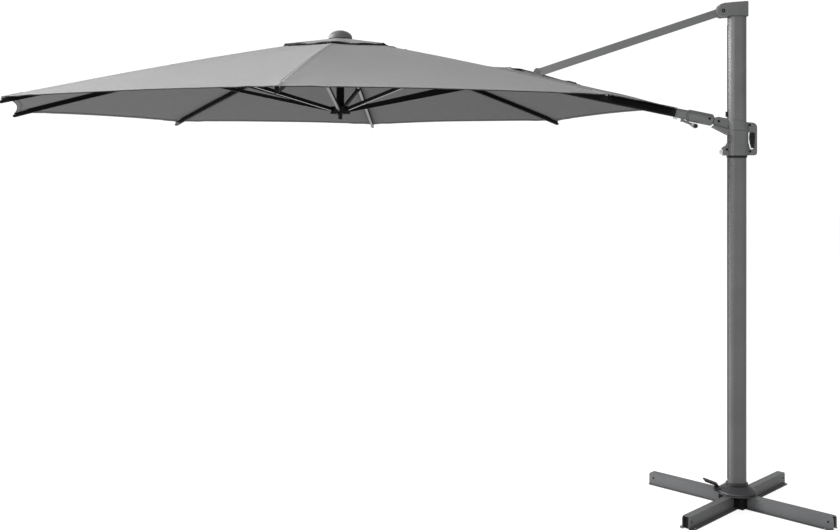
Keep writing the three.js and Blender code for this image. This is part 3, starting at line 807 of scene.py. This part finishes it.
def add_mast_trim():
    track_half = 0.0101
    block("mast_track", (-0.0474, -track_half, 0.131), (-0.0460, track_half, 2.478),
          black_plastic, "mast")
    at = (STRUT_PIVOT_X, 0.0398, STRUT_PIVOT_Z)
    pair_of_screws("head_screw", *at, *HEAD_SCREW, "mast")
    end = (STRUT_PIVOT_X, 0.0405, STRUT_PIVOT_Z)
    pair_of_screws("head_screw_end", *end, *HEAD_SCREW_END, "mast", anthracite)
    for label, sign in SIDES:
        side_seam(f"head_seam_{label}", sign, 0.0355, (-0.049, 0.0475), (2.5215, 2.5228), "mast")


def add_carriage_trim():
    pair_of_screws("knuckle_screw", KNUCKLE.x, 0.0258, KNUCKLE.z, *KNUCKLE_SCREW, "carriage")
    pair_of_screws("nose_screw", -0.0560, 0.0208, 1.834, *CASE_SCREW, "carriage")
    pair_of_screws("handle_screw_low", 0.0640, 0.0159, 1.824, *CASE_SCREW, "carriage")
    pair_of_screws("handle_screw_top", 0.0620, 0.0159, 1.960, *CASE_SCREW, "carriage")
    # A black band under the sleeve, painted shadow along the sleeve's lower edge.
    band("sleeve_shadow_band", rounded_outline(0.0985, 0.078, 0.028),
         rounded_outline(0.0966, 0.0636, 0.0285), 1.7920, 1.8032, black_plastic, "carriage")
    bar_slope = math.atan2(0.026, 0.086)
    bar_frame = Matrix.Translation((-0.073, 0, 1.9478)) @ Matrix.Rotation(bar_slope, 4, "Y")
    for label, sign in SIDES:
        side = sign * 0.0246
        block(f"bar_seam_{label}", (-0.044, side - 0.0031, -0.0012), (0.046, side + 0.0031, 0.0012),
              black_plastic, "carriage", place=bar_frame)
        side_seam(f"carriage_seam_{label}", sign, 0.0421, (-0.030, 0.034), (1.9320, 1.9336), "carriage")


def add_boom_trim():
    """Places are along the boom from the knuckle, to its side, and up from its axis."""
    for label, sign in SIDES:
        out = (0, sign, 0)
        barrel = on_boom(0.050, sign * 0.0338, 0.003)
        # The barrel screws are near-black, painted shade for screw holes.
        screw_head(f"barrel_screw_{label}", barrel, out, *BARREL_SCREW, "boom", screw_shade_black)
        disc = on_boom(0.107, sign * 0.0098, -0.047)
        screw_head(f"lever_disc_{label}", disc, out, *LEVER_DISC, "lever", black_plastic, FLAT_TOP)
        tip = on_boom(0.124, sign * 0.0098, -0.044)
        screw_head(f"lever_mark_{label}", tip, out, *LEVER_MARK, "lever", grey_plastic, FLAT_TOP)
    block("cable_clip", (0.206, -0.008, -0.0335), (0.226, 0.008, -0.0225), grey_plastic, "boom",
          0.002, boom_frame)
    for k, along in enumerate((0.1655, 0.2165)):
        block(f"collar_line_{k + 1}", (along, -0.0200, -0.0140), (along + 0.0012, 0.0200, 0.0140),
              black_plastic, "boom", place=boom_frame)
    block("slot_toggle", (0.7535, -0.0165, 0.0228), (0.7775, 0.0165, 0.0485), black_plastic, "boom",
          0.0015, boom_frame)


def add_base_trim():
    """A black block in each arm's open end, painted shade for the arm's dark inside, and black screw
    heads on both its sides, painted shade for screw holes.
    """
    for k in range(ARMS):
        arm = Matrix.Rotation(ARM_TURN + k * math.pi / 2, 4, "Z")
        block(f"arm_end_shade_{k + 1}", (0.4700, -0.0162, 0.0008), (0.4960, 0.0162, 0.0590),
              black_plastic, "base", place=arm)
        for label, sign in (("a", -1), ("b", 1)):
            at = arm @ Vector((0.484, sign * 0.0188, 0.034))
            out = arm.to_3x3() @ Vector((0, sign, 0))
            screw_head(f"arm_screw_{k + 1}{label}", at, out, *ARM_SCREW, "base", screw_shade_black)


# A rib pocket's section, across the rib and up, and how wide it is at each radius
POCKET_SECTION = ((-0.0096, -0.0052), (-0.0096, -0.0010), (-0.0074, 0.0012), (0.0, 0.0018),
                  (0.0074, 0.0012), (0.0096, -0.0010), (0.0096, -0.0052))
POCKET_WIDTHS = ((1.672, 0.55), (1.690, 0.90), (1.715, 1.0), (1.735, 1.0), (1.7525, 1.0))


def rib_pocket(index):
    """The stitched pocket that holds a rib's end, or the boom's, at the corner of the cloth."""
    over_boom = index == 0
    height = boom_height if over_boom else cloth_height
    bm = bmesh.new()
    rows = []
    for r, flare in POCKET_WIDTHS:
        sides = 0.25 if r == POCKET_WIDTHS[0][0] else 1.0
        wide = flare * (2.0 if over_boom else 1.0)
        row = []
        for y, z in POCKET_SECTION:
            up = height(r) + 0.0006 + z * (sides if z < 0 else 1.0)
            row.append(bm.verts.new(around_centre(r, y * wide, up, index * 2 * HALF)))
        rows.append(row)
    for low, high in zip(rows, rows[1:]):
        for i in range(len(POCKET_SECTION) - 1):
            bm.faces.new((low[i], high[i], high[i + 1], low[i + 1]))
    body = "boom" if over_boom else f"rib_set_{index}"
    patch = add_mesh(f"rib_pocket_{index}", bm, cloth, body, 50)
    thicken(patch, POCKET)


def add_rib_trim():
    for index in range(GORES):
        rib_pocket(index)


add_mast_trim()
add_carriage_trim()
add_boom_trim()
add_base_trim()
add_rib_trim()


# ---------------------------------------------------------------- camera, light, floor

def make_camera():
    data = bpy.data.cameras.new("camera")
    camera = bpy.data.objects.new("camera", data)
    bpy.context.scene.collection.objects.link(camera)
    camera.location = (-1.3717, -5.3257, 1.7626)
    camera.rotation_euler = (math.pi / 2, 0, 0.0504)
    data.sensor_width = 36
    data.lens = 43.515986
    data.shift_y = -0.120985714
    data.clip_end = 100
    bpy.context.scene.camera = camera


def make_light(name, location, target, size, power):
    data = bpy.data.lights.new(name, "AREA")
    data.shape = "SQUARE"
    data.size = size
    data.energy = power
    lamp = bpy.data.objects.new(name, data)
    bpy.context.scene.collection.objects.link(lamp)
    lamp.location = location
    way = Vector(target) - Vector(location)
    lamp.rotation_euler = way.to_track_quat("-Z", "Y").to_euler()


def make_floor():
    """A pale floor just under the feet, which glows a little so that it stays near white."""
    bm = bmesh.new()
    bmesh.ops.create_grid(bm, x_segments=1, y_segments=1, size=30)
    mesh = bpy.data.meshes.new("floor")
    bm.to_mesh(mesh)
    bm.free()
    floor = bpy.data.objects.new("floor", mesh)
    bpy.context.scene.collection.objects.link(floor)
    floor.location.z = -0.0005
    material, _, shader = new_material("pale_floor")
    shader.inputs["Base Color"].default_value = (0.26, 0.26, 0.26, 1)
    shader.inputs["Roughness"].default_value = 1.0
    shader.inputs["Specular IOR Level"].default_value = 0.0
    shader.inputs["Emission Color"].default_value = (1, 1, 1, 1)
    shader.inputs["Emission Strength"].default_value = 0.82
    paint(floor, material)


def make_world():
    """A white backdrop behind the parasol and a dimmer studio in front of it and above."""
    world = bpy.data.worlds.new("studio")
    bpy.context.scene.world = world
    world.use_nodes = True
    tree = world.node_tree
    background = tree.nodes["Background"]
    background.inputs["Color"].default_value = (1, 1, 1, 1)
    direction = add_node(tree, "ShaderNodeTexCoord").outputs["Generated"]
    strength = ramp(tree, parts_of(tree, direction)[1], 0.30, 0.80, 0.62, 1.05)
    tree.links.new(strength, background.inputs["Strength"])


make_camera()
make_world()
make_floor()
make_light("key", location=(-9.0, 0.5, 4.1), target=(-2.0, 0, 2.1), size=3.5, power=2300)
make_light("front", location=(-1.6, -4.0, 3.0), target=(-0.6, 0, 2.2), size=1.6, power=120)
bpy.context.scene.view_settings.view_transform = "Standard"
